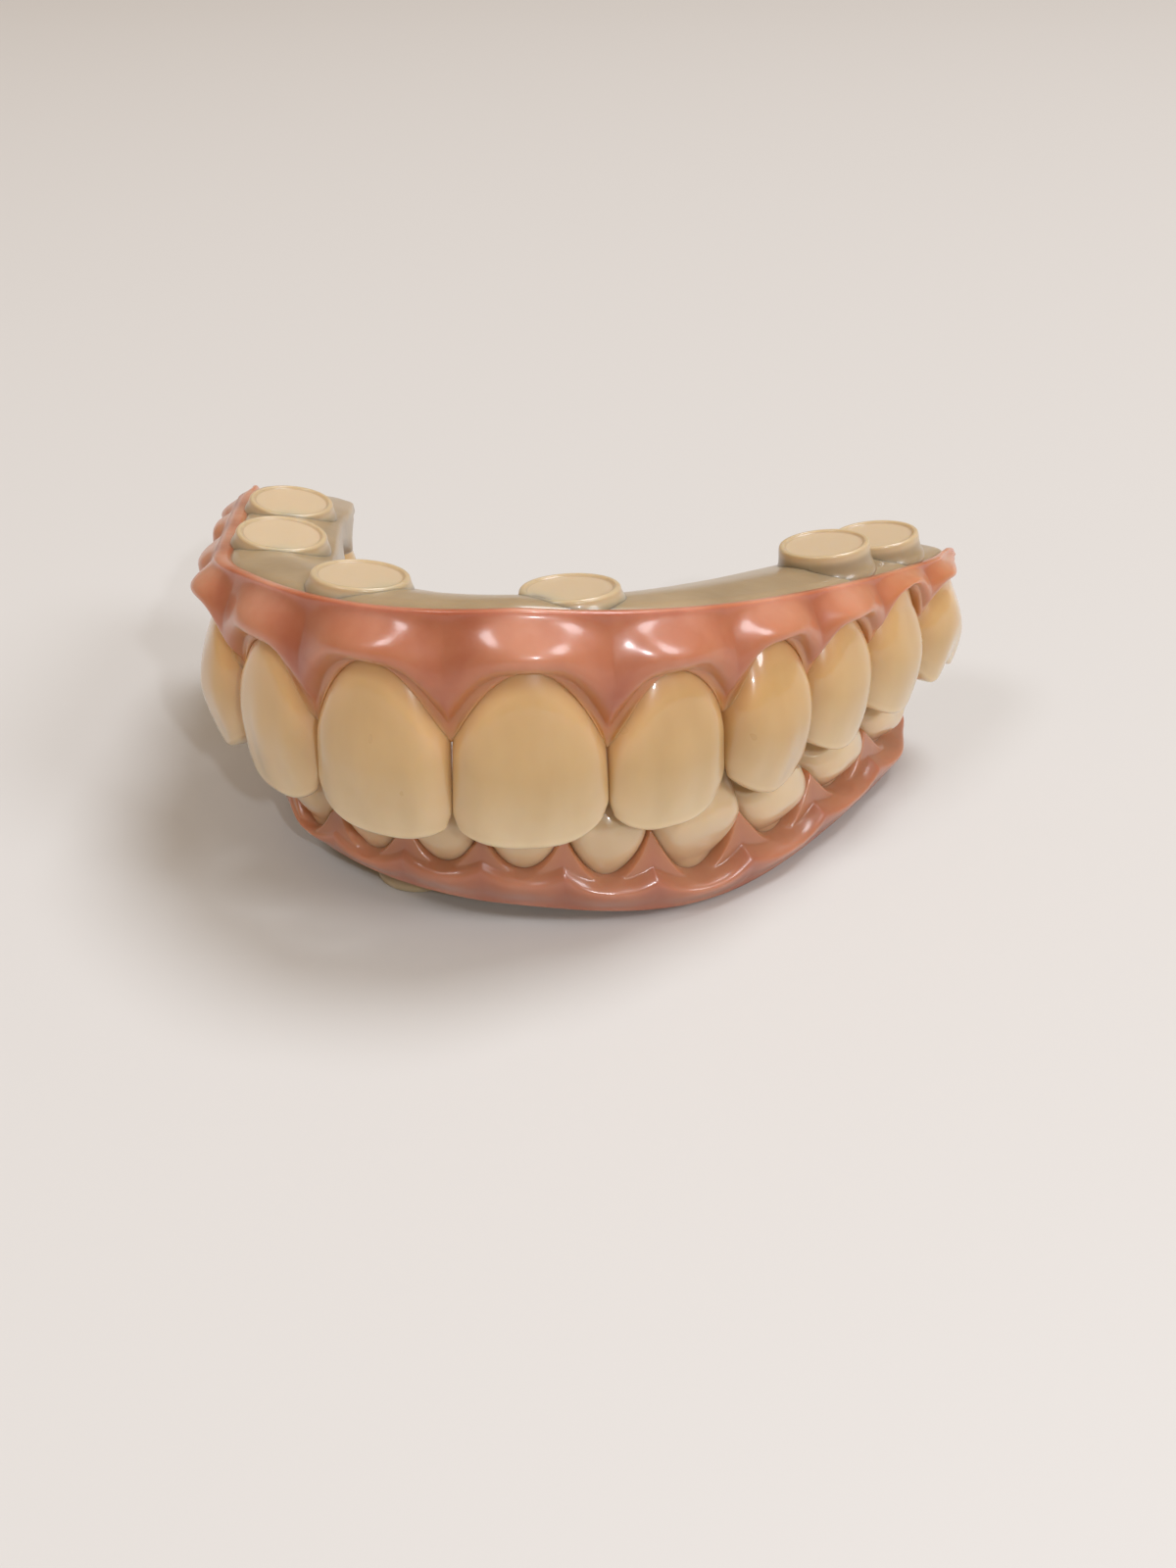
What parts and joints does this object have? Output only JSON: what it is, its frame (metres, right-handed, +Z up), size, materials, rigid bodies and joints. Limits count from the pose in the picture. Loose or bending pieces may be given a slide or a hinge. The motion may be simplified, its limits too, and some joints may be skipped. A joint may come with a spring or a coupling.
{
  "type": "full denture",
  "caption": "Full denture for both jaws, set in bite: arched frameworks with round implant seats, glossy gum bands and separate teeth, the upper resting on the lower.",
  "frame": {"origin": "centre of the bounding box in plan, at the table the lower arch stands on", "axes": "+X towards the wearer's left, -Y towards the front teeth, +Z up, towards the tissue side of the upper arch"},
  "size_m": [0.051, 0.0364, 0.0208],
  "materials": {
    "lower_framework": "satin, greenish beige",
    "lower_gum": "glossy coral pink",
    "lower_left_canine": "glossy warm cream, greyer at the edge",
    "lower_left_central_incisor": "glossy warm cream, greyer at the edge",
    "lower_left_first_molar": "glossy warm cream, greyer at the edge",
    "lower_left_first_premolar": "glossy warm cream, greyer at the edge",
    "lower_left_lateral_incisor": "glossy warm cream, greyer at the edge",
    "lower_left_second_premolar": "glossy warm cream, greyer at the edge",
    "lower_right_canine": "glossy warm cream, greyer at the edge",
    "lower_right_central_incisor": "glossy warm cream, greyer at the edge",
    "lower_right_first_molar": "glossy warm cream, greyer at the edge",
    "lower_right_first_premolar": "glossy warm cream, greyer at the edge",
    "lower_right_lateral_incisor": "glossy warm cream, greyer at the edge",
    "lower_right_second_premolar": "glossy warm cream, greyer at the edge",
    "upper_framework": "satin, greenish beige",
    "upper_gum": "glossy coral pink",
    "upper_left_canine": "glossy warm cream, greyer at the edge",
    "upper_left_central_incisor": "glossy warm cream, greyer at the edge",
    "upper_left_first_molar": "glossy warm cream, greyer at the edge",
    "upper_left_first_premolar": "glossy warm cream, greyer at the edge",
    "upper_left_lateral_incisor": "glossy warm cream, greyer at the edge",
    "upper_left_second_premolar": "glossy warm cream, greyer at the edge",
    "upper_right_canine": "glossy warm cream, greyer at the edge",
    "upper_right_central_incisor": "glossy warm cream, greyer at the edge",
    "upper_right_first_molar": "glossy warm cream, greyer at the edge",
    "upper_right_first_premolar": "glossy warm cream, greyer at the edge",
    "upper_right_lateral_incisor": "glossy warm cream, greyer at the edge",
    "upper_right_second_premolar": "glossy warm cream, greyer at the edge"
  },
  "bodies": {
    "root": {"lower_framework": "lower_framework", "lower_gum": "lower_gum", "lower_left_canine": "lower_left_canine", "lower_left_central_incisor": "lower_left_central_incisor", "lower_left_first_molar": "lower_left_first_molar", "lower_left_first_premolar": "lower_left_first_premolar", "lower_left_lateral_incisor": "lower_left_lateral_incisor", "lower_left_second_premolar": "lower_left_second_premolar", "lower_right_canine": "lower_right_canine", "lower_right_central_incisor": "lower_right_central_incisor", "lower_right_first_molar": "lower_right_first_molar", "lower_right_first_premolar": "lower_right_first_premolar", "lower_right_lateral_incisor": "lower_right_lateral_incisor", "lower_right_second_premolar": "lower_right_second_premolar", "upper_framework": "upper_framework", "upper_gum": "upper_gum", "upper_left_canine": "upper_left_canine", "upper_left_central_incisor": "upper_left_central_incisor", "upper_left_first_molar": "upper_left_first_molar", "upper_left_first_premolar": "upper_left_first_premolar", "upper_left_lateral_incisor": "upper_left_lateral_incisor", "upper_left_second_premolar": "upper_left_second_premolar", "upper_right_canine": "upper_right_canine", "upper_right_central_incisor": "upper_right_central_incisor", "upper_right_first_molar": "upper_right_first_molar", "upper_right_first_premolar": "upper_right_first_premolar", "upper_right_lateral_incisor": "upper_right_lateral_incisor", "upper_right_second_premolar": "upper_right_second_premolar"}
  },
  "joints": []
}
